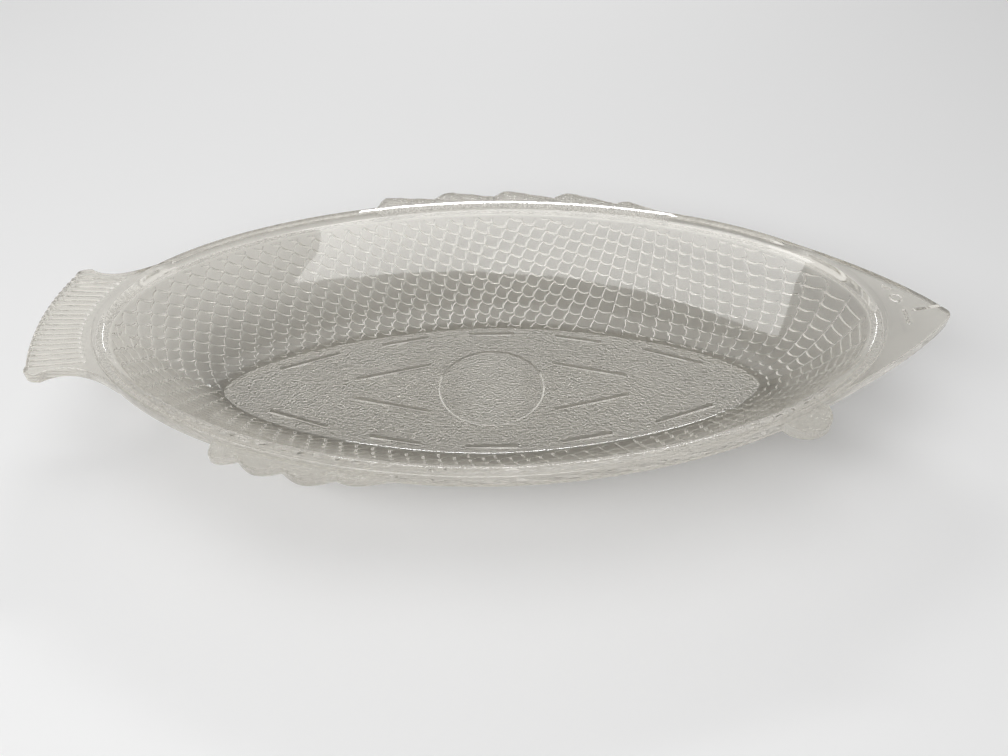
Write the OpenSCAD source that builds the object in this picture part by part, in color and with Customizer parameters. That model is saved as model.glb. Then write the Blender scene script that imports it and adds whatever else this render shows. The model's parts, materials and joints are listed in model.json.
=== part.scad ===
// Fish-shaped serving platter in pressed clear glass.
// An oval bowl is the fish's body. A flat rim runs round the bowl and carries a flat head,
// a ribbed tail fin and three lobed fins. The platter stands on low ribs under its floor.
// The real glass is one pressing. Each moulded zone is a closed solid of its own here, and
// neighbouring zones meet face to face along outlines that they share.
// Origin: centre of the resting face. +X to the snout, +Y to the dorsal fin, +Z up.

/* [Bowl] */
// Length of the bowl's opening, from crest to crest
crest_l = 357; // [330:1:400]
// Width of the bowl's opening, from crest to crest
crest_w = 185; // [160:1:210]
// Fullness of the opening's oval, where 2 is an ellipse
crest_fullness = 1.91; // [1.75:0.01:2.3]
// Length of the flat floor
floor_l = 272; // [230:1:300]
// Width of the flat floor
floor_w = 91; // [75:1:115]
// Fullness of the floor's oval, where 2 is an ellipse
floor_fullness = 1.7; // [1.5:0.01:2.2]
// Height of the rim's crest above the table at mid-length
bowl_h = 51; // [42:0.5:65]
// Rise of the crest from mid-length to the ends
sheer_h = 3.3; // [0:0.1:5]
// Thickness of the glass in the floor
floor_t = 5; // [4:0.1:7]
// Thickness of the glass in the wall
wall_t = 5; // [4:0.1:6]
// How far the wall bends upwards, where 0 is a straight slope
wall_bend_share = 0.65; // [0.05:0.01:0.7]

/* [Rim] */
// Width of the rim outside the crest
rim_w = 6.5; // [4:0.1:9]
// Thickness of the rim at its edge
rim_t = 7; // [6:0.1:10]
// Rounding of the rim's outer edges
rim_round = 1.5; // [0.5:0.1:2]

/* [Head] */
// Reach of the snout beyond the rim
head_l = 31; // [20:0.5:45]
// Width of the head where it leaves the rim
head_w = 128; // [100:1:140]
// Taper of the head: how far along it the cheeks bend, where 1 is at the snout
head_taper = 0.75; // [0.55:0.01:0.9]
// How far the snout leans to the belly side
snout_lean = 5; // [0:0.5:8]
// Thickness of the head's plate
head_t = 6; // [4.5:0.1:7]
// Step from the rim's crest down to the top of the head
head_drop = 2; // [1.6:0.1:2.5]
// Length of the mouth's groove
mouth_l = 18; // [8:0.5:24]
// Width of the mouth's groove
mouth_w = 1.6; // [0.6:0.1:2]
// Depth of the mouth's groove
mouth_d = 1.4; // [0.4:0.1:2]
// Diameter of the eye
eye_d = 5; // [3:0.1:7]
// Height of the eye's dome
eye_h = 0.8; // [0.4:0.1:1.2]

/* [Tail] */
// Reach of the tail beyond the rim
tail_l = 26; // [18:0.5:36]
// Width of the tail where it leaves the rim
tail_root_w = 100; // [86:1:108]
// Width across the tail's end
tail_end_w = 77; // [66:1:90]
// Width that the sides of the tail bend in towards
tail_waist_w = 54; // [46:1:60]
// How far the middle of the end edge stands out from its corners
tail_bow = 5; // [2:0.5:7]
// Thickness of the tail's plate
tail_t = 5.5; // [4.5:0.1:6.5]
// Step from the rim's crest down to the top of the tail
tail_drop = 2; // [1.6:0.1:2.5]
// Number of ribs on the tail
tail_rib_count = 19; // [9:2:25]
// Width of a tail rib at its foot
tail_rib_w = 2.8; // [1.6:0.1:3]
// Height of a tail rib
tail_rib_h = 0.8; // [0.4:0.1:1.2]
// Smooth strip between the rim and the tail's ribs
tail_strip = 4; // [2:0.5:7]
// Distance from the tail's end to the point that the ribs fan out from
tail_fan_r = 310; // [200:5:500]

/* [Fins] */
// Thickness of the fins
fin_t = 5; // [4:0.1:5.4]
// Step from the rim's crest down to the top of the fins
fin_drop = 1.5; // [1.5:0.1:2]
// Reach of the dorsal fin beyond the rim
dorsal_h = 11; // [6:0.5:16]
// Number of lobes on the dorsal fin
dorsal_lobes = 5; // [3:1:7]
// Reach of the anal fin beyond the rim
anal_h = 8; // [5:0.5:13]
// Number of lobes on the anal fin
anal_lobes = 4; // [2:1:6]
// Reach of the pectoral fin beyond the rim
pectoral_h = 10.5; // [6:0.5:15]

/* [Underside] */
// Height of the ribs and the roundel that the platter stands on
foot_h = 0.8; // [0.5:0.1:1.2]
// Width of a foot rib
foot_rib_w = 2; // [1.2:0.1:3]
// Diameter of the roundel
roundel_d = 54; // [40:1:60]

/* [Hidden] */
$fn = 96;

// Stations round the bowl, counted from the snout by way of the dorsal side
stations = 120;
// Stations between the snout and the corner of a long wall
corner_stations = 11;
// Stations of the rim that the pectoral fin covers, behind the head
pectoral_stations = 3;
// Steps up the wall, round a rounded edge, along a curved edge and along one lobe of a fin
wall_steps = 6;
round_steps = 3;
curve_steps = 10;
lobe_steps = 9;
// The points of the wall's and the rim's outline that look along all of it
wall_hub = wall_steps * 3 / 2 + 1;
rim_hub = 1;

// Where the fins start and end along the rim, tail side first, as shares of the opening's half-length
dorsal_span_shares = [-0.34, 0.53];
anal_span_shares = [-0.605, -0.18];
// The notch between two lobes, as a share of the fin's reach
dorsal_notch_share = 0.45;
anal_notch_share = 0.5;
// Where a dorsal lobe peaks along its own length, from the tail side
lobe_peak_share = 0.25;
// The part of a fin over which its reach builds up from the rim
fin_start_share = 0.05;
dorsal_end_share = 0.3;
anal_end_share = 0.5;
// How the anal fin's lobes lengthen from the tail side, where 1 keeps them equal
anal_growth = 1.2;

// Foot ribs of one quarter and of one side, from end to end,
// as shares of the floor's half-length and half-width
quarter_rib_shares = [
  [[0.59, 0.58], [0.81, 0.33]],
  [[0.25, 0.84], [0.43, 0.72]],
  [[0.23, 0.37], [0.51, 0.15]]];
side_rib_shares = [[-0.09, 0.89], [0.09, 0.89]];

// The eye's place, as shares of the way from the rim to the snout and of the head's half-width
eye_shares = [0.2, 0.236];
// The mouth's turn about the snout and the place of its outer end, as a share of the head's half-width
mouth_turn = 12;
mouth_y_share = 0.026;
// Width of a tail rib at its top, as a share of its foot
rib_top_share = 0.45;
// Where the tail's sides are drawn in, and where the corners end, from the rim to the end
tail_waist_share = 0;
tail_corner_share = 0.55;
tail_corner_end_share = 0.86;
// Overrun of a cut past the surface that it opens
overrun = 1;

floor_top = foot_h + floor_t;
crest_a = crest_l / 2;
snout_x = crest_a + rim_w + head_l;
tail_x = crest_a + rim_w + tail_l;
glass = [0.8, 0.83, 0.8, 0.6];
glass_rim = [0.86, 0.88, 0.83, 0.6];
glass_fin = [0.9, 0.9, 0.88, 0.6];

function unit(v) = v / norm(v);
function signed_pow(v, e) = sign(v) * pow(abs(v), e);
function oval(l, w, fullness, a) =
  [l / 2 * signed_pow(cos(a), 2 / fullness), w / 2 * signed_pow(sin(a), 2 / fullness)];
function angle_of(k) = 360 * k / stations;
function lift(p, z) = [p[0], p[1], z];
function bent(p0, p1, p2) =
  [for (i = [0:curve_steps]) let (t = i / curve_steps)
    (1 - t) * (1 - t) * p0 + 2 * t * (1 - t) * p1 + t * t * p2];
function mirrored_y(pts) = [for (i = [len(pts) - 1:-1:0]) [pts[i][0], -pts[i][1]]];

// Plan of the bowl at an angle round it
function floor_at(a) = oval(floor_l, floor_w, floor_fullness, a);
function crest_at(a) = oval(crest_l, crest_w, crest_fullness, a);
function outward(a) = unit(crest_at(a) - floor_at(a));
function rim_edge(a) = crest_at(a) + rim_w * outward(a);
function crest_z(a) = bowl_h + sheer_h * pow(crest_at(a)[0] / crest_a, 2);

// Inner face of the wall at a share v of the way from the floor to the crest
function wall_run(a) = norm(crest_at(a) - floor_at(a));
function wall_rise(a) = crest_z(a) - floor_top;
function wall_slope(a, v) = atan2(wall_rise(a) * (1 - wall_bend_share * (1 - 2 * v)), wall_run(a));
function inner_wall(a, v) = lift(
  floor_at(a) + v * (crest_at(a) - floor_at(a)),
  floor_top + wall_rise(a) * (v - wall_bend_share * v * (1 - v)));
function outer_wall(a, v) = inner_wall(a, v)
  + wall_t * (sin(wall_slope(a, v)) * lift(outward(a), 0) - cos(wall_slope(a, v)) * [0, 0, 1]);

// Share of the way up at which the wall meets the underside of the rim
function seam_v(a) = let (b = wall_bend_share, q = 1 - rim_t / wall_rise(a))
  (b - 1 + sqrt(pow(1 - b, 2) + 4 * b * q)) / (2 * b);
function seam_in(a) = inner_wall(a, seam_v(a));
function seam_out(a) = seam_in(a) + wall_t / sin(wall_slope(a, seam_v(a))) * lift(outward(a), 0);

// Outline of a cut through the wall, and of a cut through the rim
function wall_profile(a) = concat(
  [for (i = [0:wall_steps]) inner_wall(a, seam_v(a) * i / wall_steps)],
  [seam_out(a)],
  [for (i = [wall_steps - 1:-1:0]) outer_wall(a, seam_v(a) * i / wall_steps)],
  [lift(floor_at(a), foot_h)]);
function rim_corner(a, z, from) = [for (i = [0:round_steps]) let (t = from - 90 * i / round_steps)
  lift(rim_edge(a) + rim_round * (cos(t) - 1) * outward(a), z + rim_round * sin(t))];
function rim_profile(a) = concat(
  [seam_in(a), inner_wall(a, (1 + seam_v(a)) / 2), lift(crest_at(a), crest_z(a))],
  rim_corner(a, crest_z(a) - rim_round, 90),
  rim_corner(a, crest_z(a) - rim_t + rim_round, 0),
  [seam_out(a)]);

// Closed skin over a row of cuts with equal numbers of points, where each end is a fan about one point
module skin(cuts, hub) {
  n = len(cuts);
  m = len(cuts[0]);
  sides = [for (k = [0:n - 2], i = [0:m - 1])
    let (i2 = (i + 1) % m)
    each [[k * m + i, (k + 1) * m + i2, k * m + i2], [k * m + i, (k + 1) * m + i, (k + 1) * m + i2]]];
  fan = [for (i = [1:m - 2]) [hub, (hub + i) % m, (hub + i + 1) % m]];
  far_fan = [for (f = fan) [for (i = [2:-1:0]) (n - 1) * m + f[i]]];
  polyhedron([for (c = cuts) each c], concat(sides, fan, far_fan), convexity = 10);
}

// Stretch of the wall, and of the rim, from one station to another
module wall_stretch(first, last) {
  skin([for (k = [first:last]) wall_profile(angle_of(k))], wall_hub);
}
module rim_stretch(first, last) {
  skin([for (k = [first:last]) rim_profile(angle_of(k))], rim_hub);
}

// Plate of an outline with its top face at a height
module plate(outline, top, thickness) {
  translate([0, 0, top - thickness])
    linear_extrude(height = thickness)
      polygon(outline);
}

// Bar with round ends between two points
module bar(p0, p1, width, height) {
  linear_extrude(height = height) {
    translate(p0) circle(d = width);
    translate(p1) circle(d = width);
    translate(p0)
      rotate(atan2(p1[1] - p0[1], p1[0] - p0[0]))
        translate([0, -width / 2])
          square([norm(p1 - p0), width]);
  }
}

module floor() {
  color(glass)
    translate([0, 0, foot_h])
      linear_extrude(height = floor_t)
        polygon([for (k = [0:stations - 1]) floor_at(angle_of(k))]);
}

module roundel() {
  color(glass)
    cylinder(d = roundel_d, h = foot_h);
}

function floor_share(s, mx, my) = [mx * s[0] * floor_l / 2, my * s[1] * floor_w / 2];
module foot_rib(s, mx, my) {
  bar(floor_share(s[0], mx, my), floor_share(s[1], mx, my), foot_rib_w, foot_h);
}
module foot_ribs() {
  color(glass)
    for (my = [-1, 1]) {
      foot_rib(side_rib_shares, 1, my);
      for (mx = [-1, 1], s = quarter_rib_shares)
        foot_rib(s, mx, my);
    }
}

// The long walls are parted at mid-length, where the bowl is widest
module back_wall_fore() {
  color(glass) wall_stretch(corner_stations, stations / 4);
}

module back_wall_aft() {
  color(glass) wall_stretch(stations / 4, stations / 2 - corner_stations);
}

module belly_wall_aft() {
  color(glass) wall_stretch(stations / 2 + corner_stations, stations * 3 / 4);
}

module belly_wall_fore() {
  color(glass) wall_stretch(stations * 3 / 4, stations - corner_stations);
}

module head_end_wall() {
  color(glass) wall_stretch(-corner_stations, corner_stations);
}

module tail_end_wall() {
  color(glass) wall_stretch(stations / 2 - corner_stations, stations / 2 + corner_stations);
}

// The rim is parted at the snout and at the tail
module rim_back() {
  color(glass_rim) rim_stretch(0, stations / 2);
}

module rim_belly() {
  color(glass_rim) rim_stretch(stations / 2, stations);
}

// Stations of the rim on one side of an end, out to a half-width
function stations_within(half_w) =
  max([for (k = [0:stations / 4]) if (rim_edge(angle_of(k))[1] <= half_w) k]);
function rim_run(first, last) = [for (k = [first:last]) rim_edge(angle_of(k))];

head_stations = stations_within(head_w / 2);
head_root = rim_edge(angle_of(head_stations));
head_top = crest_z(0) - head_drop;
// Each cheek leaves the rim in line with its edge and bends to the snout
head_lead = head_root - rim_edge(angle_of(head_stations + 1));
head_knee = head_root + head_lead * head_taper * (snout_x - head_root[0]) / head_lead[0];
function cheek(side) =
  bent([head_root[0], side * head_root[1]], [head_knee[0], side * head_knee[1]], [snout_x, -snout_lean]);
module head() {
  outline = concat(
    rim_run(-head_stations, head_stations),
    [for (i = [1:curve_steps]) cheek(1)[i]],
    [for (i = [curve_steps - 1:-1:1]) cheek(-1)[i]]);
  color(glass_rim)
    difference() {
      plate(outline, head_top, head_t);
      translate([snout_x + overrun, mouth_y_share * head_w / 2, head_top - mouth_d])
        rotate(180 + mouth_turn)
          translate([0, -mouth_w / 2, 0])
            cube([mouth_l + overrun, mouth_w, mouth_d + overrun]);
    }
}

eye_at = [crest_a + rim_w + eye_shares[0] * head_l, eye_shares[1] * head_w / 2];
eye_ball_r = (eye_d * eye_d / 4 + eye_h * eye_h) / (2 * eye_h);
module eye() {
  color(glass_fin)
    translate(lift(eye_at, head_top))
      intersection() {
        translate([0, 0, eye_h - eye_ball_r]) sphere(r = eye_ball_r);
        cylinder(d = eye_d, h = eye_h);
      }
}

tail_stations = stations_within(tail_root_w / 2);
tail_root = rim_edge(angle_of(stations / 2 - tail_stations));
tail_top = crest_z(180) - tail_drop;
tail_corner_y = tail_end_w / 2;
tail_end_y = tail_waist_w / 2 + (tail_end_w - tail_waist_w) / 4;
tail_arc_r = (tail_end_y * tail_end_y + tail_bow * tail_bow) / (2 * tail_bow);
function along_tail(share) = -(tail_x - tail_l * (1 - share));
function tail_end_at(y) = tail_arc_r - tail_x - sqrt(tail_arc_r * tail_arc_r - y * y);
module tail_fin() {
  corner = [along_tail(tail_corner_share), tail_corner_y];
  end = [tail_end_at(tail_end_y), tail_end_y];
  side = concat(
    bent(tail_root, [along_tail(tail_waist_share), tail_waist_w / 2], corner),
    bent(corner, [along_tail(tail_corner_end_share), tail_corner_y], end),
    [for (i = [1:curve_steps]) let (y = end[1] * (1 - i / curve_steps)) [tail_end_at(y), y]]);
  outline = concat(
    [for (i = [1:len(side) - 1]) side[i]],
    mirrored_y([for (i = [1:len(side) - 2]) side[i]]),
    [for (k = [stations / 2 + tail_stations:-1:stations / 2 - tail_stations]) rim_edge(angle_of(k))]);
  color(glass_fin) plate(outline, tail_top, tail_t);
}

// One rib of the tail along the -X axis, from one distance to another
module tail_rib(from, to) {
  translate([-from, 0, 0])
    rotate([90, 0, -90])
      linear_extrude(height = to - from)
        polygon([
          [-tail_rib_w / 2, 0],
          [tail_rib_w / 2, 0],
          [rib_top_share * tail_rib_w / 2, tail_rib_h],
          [-rib_top_share * tail_rib_w / 2, tail_rib_h]]);
}

// Distance of the rim's outer edge from the middle of the bowl, along the bowl, at a distance y to its side
function rim_end_at(y) = let (across = abs(y) / (crest_w / 2 + rim_w))
  (crest_a + rim_w) * pow(1 - pow(across, crest_fullness), 1 / crest_fullness);
module tail_ribs() {
  fan_x = tail_fan_r - tail_x;
  pitch = 2 * tail_end_y / (tail_rib_count - 1);
  color(glass_fin)
    for (i = [0:tail_rib_count - 1]) {
      y = -tail_end_y + i * pitch;
      turn = asin(y / tail_fan_r);
      foot_y = abs(y) + tail_rib_w / 2;
      translate([fan_x, 0, tail_top])
        rotate(-turn)
          tail_rib(
            (fan_x + rim_end_at(y) + tail_strip) / cos(turn),
            (fan_x - tail_end_at(foot_y)) / cos(turn) - tail_rib_w / 2);
    }
}

// True outward direction of the rim's plan at an angle, and the angle at a share of the half-length
function rim_normal(a) = unit([
  signed_pow(cos(a), 2 - 2 / crest_fullness) / crest_l,
  signed_pow(sin(a), 2 - 2 / crest_fullness) / crest_w]);
function angle_at(x_share) = acos(signed_pow(x_share, crest_fullness / 2));
function near_station(x_share) = round(angle_at(x_share) * stations / 360);

// Reach of a fin at a share u of its length from the tail side, as a share of its full reach
function ramp(u, run) = u >= run ? 1 : sin(90 * u / run);
function saw_lobe(w) = w < lobe_peak_share
  ? sin(90 * w / lobe_peak_share)
  : 1 - (w - lobe_peak_share) / (1 - lobe_peak_share);
function round_lobe(w) = sin(180 * w);
function saw_reach(u) = ramp(u, fin_start_share) * ramp(1 - u, dorsal_end_share)
  * (dorsal_notch_share + (1 - dorsal_notch_share) * saw_lobe(u * dorsal_lobes % 1));
function scalloped_reach(u) = ramp(u, fin_start_share) * ramp(1 - u, anal_end_share)
  * (anal_notch_share + (1 - anal_notch_share) * round_lobe(pow(u, 1 / anal_growth) * anal_lobes % 1));
function hump_reach(u) = sqrt(round_lobe(u));

// Plate between two stations of the rim and an edge that reaches out from it,
// drawn through the reaches at the given shares of the fin's length
module fin(first, last, shares, reaches, height) {
  a0 = angle_of(first);
  a1 = angle_of(last);
  edge = [for (i = [1:len(shares) - 2]) let (a = a0 + (a1 - a0) * shares[i])
    rim_edge(a) + height * reaches[i] * rim_normal(a)];
  step = sign(last - first);
  plate(
    concat(edge, [for (k = [last:-step:first]) rim_edge(angle_of(k))]),
    crest_z((a0 + a1) / 2) - fin_drop,
    fin_t);
}

// Even shares from 0 to 1
function shares_of(n) = [for (i = [0:n]) i / n];

module dorsal_fin() {
  shares = shares_of(dorsal_lobes * lobe_steps);
  color(glass_fin)
    fin(near_station(dorsal_span_shares[0]), near_station(dorsal_span_shares[1]),
      shares, [for (u = shares) saw_reach(u)], dorsal_h);
}

module anal_fin() {
  shares = [for (u = shares_of(anal_lobes * lobe_steps)) pow(u, anal_growth)];
  color(glass_fin)
    fin(stations - near_station(anal_span_shares[0]), stations - near_station(anal_span_shares[1]),
      shares, [for (u = shares) scalloped_reach(u)], anal_h);
}

module pectoral_fin() {
  shares = shares_of(2 * lobe_steps);
  color(glass_fin)
    fin(stations - head_stations - pectoral_stations, stations - head_stations,
      shares, [for (u = shares) hump_reach(u)], pectoral_h);
}

floor();
roundel();
foot_ribs();
back_wall_fore();
back_wall_aft();
belly_wall_fore();
belly_wall_aft();
head_end_wall();
tail_end_wall();
rim_back();
rim_belly();
head();
eye();
tail_fin();
tail_ribs();
dorsal_fin();
anal_fin();
pectoral_fin();
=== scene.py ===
"""Fish-shaped serving platter in pressed clear glass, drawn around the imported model.

The moulded zones are drawn one by one and then pressed into one closed skin of glass, because a wall
left inside clear glass would show. Everything is in metres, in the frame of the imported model:
+X to the snout, +Y to the dorsal fin, +Z up, with the table at Z = 0.
"""

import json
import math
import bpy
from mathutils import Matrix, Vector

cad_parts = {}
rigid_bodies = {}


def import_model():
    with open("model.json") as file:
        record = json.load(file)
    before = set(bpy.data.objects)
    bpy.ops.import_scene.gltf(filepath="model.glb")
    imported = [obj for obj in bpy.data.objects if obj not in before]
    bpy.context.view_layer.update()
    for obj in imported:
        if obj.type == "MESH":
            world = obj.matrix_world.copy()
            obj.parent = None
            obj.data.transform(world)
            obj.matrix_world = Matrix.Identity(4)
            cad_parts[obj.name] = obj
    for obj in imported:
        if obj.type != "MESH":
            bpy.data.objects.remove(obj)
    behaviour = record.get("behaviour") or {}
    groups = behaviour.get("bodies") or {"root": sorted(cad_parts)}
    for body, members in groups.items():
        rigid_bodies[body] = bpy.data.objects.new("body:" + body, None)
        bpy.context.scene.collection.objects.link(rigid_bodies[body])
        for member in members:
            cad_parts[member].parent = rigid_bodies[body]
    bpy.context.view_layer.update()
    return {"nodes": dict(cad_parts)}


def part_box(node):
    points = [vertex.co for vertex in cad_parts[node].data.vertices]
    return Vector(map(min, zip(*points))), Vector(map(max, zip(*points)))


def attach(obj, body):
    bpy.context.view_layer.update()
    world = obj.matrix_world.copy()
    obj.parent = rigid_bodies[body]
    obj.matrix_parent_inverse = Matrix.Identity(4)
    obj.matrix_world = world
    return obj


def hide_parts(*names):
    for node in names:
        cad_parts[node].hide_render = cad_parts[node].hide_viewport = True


bl_info = {
    "name": "Pressed glass fish platter",
    "version": (1, 0, 0),
    "blender": (4, 5, 0),
    "location": "View3D > Sidebar > Platter",
    "description": "Draws a fish-shaped platter of pressed glass and a plain stage for it",
    "category": "Add Mesh",
}

import bmesh
import bpy
import numpy as np
from mathutils import Matrix, Vector

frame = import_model()

MM = 0.001
TAU = 2 * math.pi
ZONES = "Moulded zones"
CUTS = "Moulded cuts"
CLEAR, STIPPLED = 0, 1
# The glasses in the order of their finish numbers, with the size of their grain
GLASSES = {"pressed_soda_lime_glass": 0.0, "stippled_soda_lime_glass": 1.1 * MM}


def span(node, axis):
    """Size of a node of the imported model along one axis."""
    low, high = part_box(node)
    return high[axis] - low[axis]


def span_of_both(one, two, axis):
    """Size of two nodes together along one axis."""
    (low, high), (low_too, high_too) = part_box(one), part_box(two)
    return max(high[axis], high_too[axis]) - min(low[axis], low_too[axis])


def top_of(node):
    """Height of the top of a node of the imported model."""
    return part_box(node)[1].z


def length(name, description, default):
    """A size that a user may change."""
    return bpy.props.FloatProperty(
        name=name, description=description, default=default, min=0.0, unit="LENGTH", precision=5)


def share(name, description, default):
    """A part of something, from 0 to 1."""
    return bpy.props.FloatProperty(
        name=name, description=description, default=default, min=0.0, max=1.0, subtype="FACTOR")


def hex_colour(name, description, default):
    """A colour written as sRGB hex."""
    return bpy.props.StringProperty(name=name, description=description, default=default, maxlen=7)


class BowlSizes(bpy.types.PropertyGroup):
    """Bowl and rim."""
    rim_w: length("Rim width", "Width of the rim outside the crest", 6.5 * MM)
    rim_t: length("Rim thickness", "Thickness of the rim at its edge", 7 * MM)
    rim_round: length("Rim rounding", "Rounding of the rim's outer edges", 1.5 * MM)
    crest_round: length("Crest rounding", "Width of the rounded crest", 2.4 * MM)
    floor_l: length("Floor length", "Length of the flat floor", span("floor", 0))
    floor_w: length("Floor width", "Width of the flat floor", span("floor", 1))
    floor_top: length("Floor height", "Height of the floor's upper face", top_of("floor"))
    foot_h: length("Foot height", "Height of the ribs under the floor", span("foot_ribs", 2))
    rim_l: length("Overall bowl length", "Length over the rim", span("rim_back", 0))
    rim_across: length("Overall bowl width", "Width over the rim", span_of_both("rim_back", "rim_belly", 1))
    wall_t: length("Wall thickness", "Thickness of the wall", 5 * MM)
    mid_h: length("Height at mid-length", "Height of the crest at mid-length", 51 * MM)
    end_h: length("Height at the ends", "Height of the crest at the ends", top_of("rim_back"))
    crest_fullness: bpy.props.FloatProperty(
        name="Opening fullness", description="Fullness of the opening, where 2 is an ellipse", default=1.91)
    floor_fullness: bpy.props.FloatProperty(
        name="Floor fullness", description="Fullness of the floor, where 2 is an ellipse", default=1.7)
    bend: share("Wall bend", "How far the wall bends upwards", 0.75)


class ScaleSizes(bpy.types.PropertyGroup):
    """Fish scales on the outside of the wall."""
    width: length("Scale width", "Width of a scale across its tip", 6.7 * MM)
    pitch: length("Row pitch", "Distance from one row of scales to the next", 5.9 * MM)
    tilt: length("Tilt", "Rise of a scale's face to its free edge", 0.04 * MM)
    bead: length("Bead", "Height of the bead along a scale's free edge", 0.56 * MM)
    line: share("Edge line", "Part of a scale's side that its bead takes", 0.18)
    swell: share("Swell", "How far a scale's tip swells into a U", 0.22)
    band: length("Smooth band", "Smooth glass between the crest and the first scales", 6.4 * MM)


class FishSizes(bpy.types.PropertyGroup):
    """Head, tail and fins."""
    head_t: length("Head thickness", "Thickness of the head's plate", span("head", 2))
    snout_lean: length("Snout lean", "How far the snout leans to the belly side", 5 * MM)
    tail_t: length("Tail thickness", "Thickness of the tail's plate", span("tail_fin", 2))
    tail_rib_h: length("Tail rib height", "Height of a rib on the tail", span("tail_ribs", 2))
    tail_ribs: bpy.props.IntProperty(name="Tail ribs", description="Ribs on the tail", default=19, min=2)
    fin_t: length("Fin thickness", "Thickness of the fins", span("dorsal_fin", 2))
    dorsal_h: length("Dorsal reach", "Reach of the dorsal fin beyond the rim", 11 * MM)
    anal_h: length("Anal reach", "Reach of the anal fin beyond the rim", 8 * MM)
    pectoral_h: length("Pectoral reach", "Reach of the pectoral fin beyond the rim", 10.5 * MM)
    edge: length("Edge rounding", "Fire-polished rounding of plate edges", 0.9 * MM)


class PlatterLook(bpy.types.PropertyGroup):
    """Colours of the glass and the stage."""
    glass: hex_colour("Glass", "Tint of light that has passed through the glass", "#E0DDD5")
    shade: hex_colour("Shade", "Light that each face of the glass lets through to the table", "#6E6A63")
    stage: hex_colour("Stage", "Colour of the floor that the platter stands on", "#F4F4F4")


def linear(code):
    """Linear colour of an sRGB hex value."""
    parts = [int(code[i:i + 2], 16) / 255 for i in (1, 3, 5)]
    return [c / 12.92 if c <= 0.04045 else ((c + 0.055) / 1.055) ** 2.4 for c in parts] + [1.0]


def add_node(tree, kind, inputs=None, **settings):
    """Adds a node, gives it its settings and fills its inputs with values or links."""
    made = tree.nodes.new(kind)
    for name, value in settings.items():
        setattr(made, name, value)
    for name, value in (inputs or {}).items():
        if isinstance(value, bpy.types.NodeSocket):
            tree.links.new(value, made.inputs[name])
        else:
            made.inputs[name].default_value = value
    return made


def oval(long, wide, fullness, angle):
    """Points of a fuller or leaner ellipse at angles round it."""
    c, s = np.cos(angle), np.sin(angle)
    power = 2 / fullness
    return np.stack([
        long / 2 * np.sign(c) * np.abs(c) ** power,
        wide / 2 * np.sign(s) * np.abs(s) ** power], -1)


def lifted(plan, z):
    """Plan points with a height."""
    return np.concatenate([plan, np.broadcast_to(z, plan.shape[:-1])[..., None]], -1)


def unit_circle(steps):
    """Plan points round a circle of radius 1."""
    turns = TAU * np.arange(steps) / steps
    return np.stack([np.cos(turns), np.sin(turns)], -1)


class Bowl:
    """Shape of the bowl: places on its faces at an angle round it and a share of the way up."""

    SEAM_SHARE = 0.7  # of the way up, below which the rim's underside never meets the wall
    HALVINGS = 24  # of the stretch in which the seam is sought

    def __init__(self, sizes):
        self.sizes = sizes
        self.crest_l = sizes.rim_l - 2 * sizes.rim_w
        self.crest_w = sizes.rim_across - 2 * sizes.rim_w

    def floor_at(self, a):
        """Plan point of the floor's edge."""
        return oval(self.sizes.floor_l, self.sizes.floor_w, self.sizes.floor_fullness, a)

    def crest_at(self, a):
        """Plan point of the crest."""
        return oval(self.crest_l, self.crest_w, self.sizes.crest_fullness, a)

    def outward(self, a):
        """Plan direction from the floor's edge to the crest."""
        way = self.crest_at(a) - self.floor_at(a)
        return way / np.linalg.norm(way, axis=-1, keepdims=True)

    def rim_at(self, a, out):
        """Plan point at a distance outside the crest."""
        return self.crest_at(a) + out * self.outward(a)

    def rim_edge(self, a):
        """Plan point of the rim's outer edge."""
        return self.rim_at(a, self.sizes.rim_w)

    def rim_normal(self, a):
        """True outward direction of the rim's plan."""
        c, s = np.cos(a), np.sin(a)
        power = 2 - 2 / self.sizes.crest_fullness
        way = np.stack([
            np.sign(c) * np.abs(c) ** power / self.crest_l,
            np.sign(s) * np.abs(s) ** power / self.crest_w], -1)
        return way / np.linalg.norm(way, axis=-1, keepdims=True)

    def crest_z(self, a):
        """Height of the crest."""
        along = self.crest_at(a)[..., 0] / (self.crest_l / 2)
        return self.sizes.mid_h + (self.sizes.end_h - self.sizes.mid_h) * along ** 2

    def rise(self, a):
        """Height of the crest above the floor."""
        return self.crest_z(a) - self.sizes.floor_top

    def inner(self, a, v):
        """Inner face of the wall."""
        plan = self.floor_at(a) + np.asarray(v)[..., None] * (self.crest_at(a) - self.floor_at(a))
        return lifted(plan, self.sizes.floor_top + self.rise(a) * (v - self.sizes.bend * v * (1 - v)))

    def outer(self, a, v, proud=0.0):
        """Outer face of the wall, with any relief that stands proud of it."""
        run = np.linalg.norm(self.crest_at(a) - self.floor_at(a), axis=-1)
        slope = np.arctan2(self.rise(a) * (1 - self.sizes.bend * (1 - 2 * v)), run)
        way = lifted(np.sin(slope)[..., None] * self.outward(a), -np.cos(slope))
        return self.inner(a, v) + (self.sizes.wall_t + np.asarray(proud))[..., None] * way

    def seam_v(self, a):
        """Share of the way up at which the wall's outer face meets the underside of the rim."""
        low, high = np.full_like(a, self.SEAM_SHARE), np.ones_like(a)
        for _ in range(self.HALVINGS):
            middle = (low + high) / 2
            over = self.outer(a, middle)[..., 2] > self.crest_z(a) - self.sizes.rim_t
            low, high = np.where(over, low, middle), np.where(over, middle, high)
        return low


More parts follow.
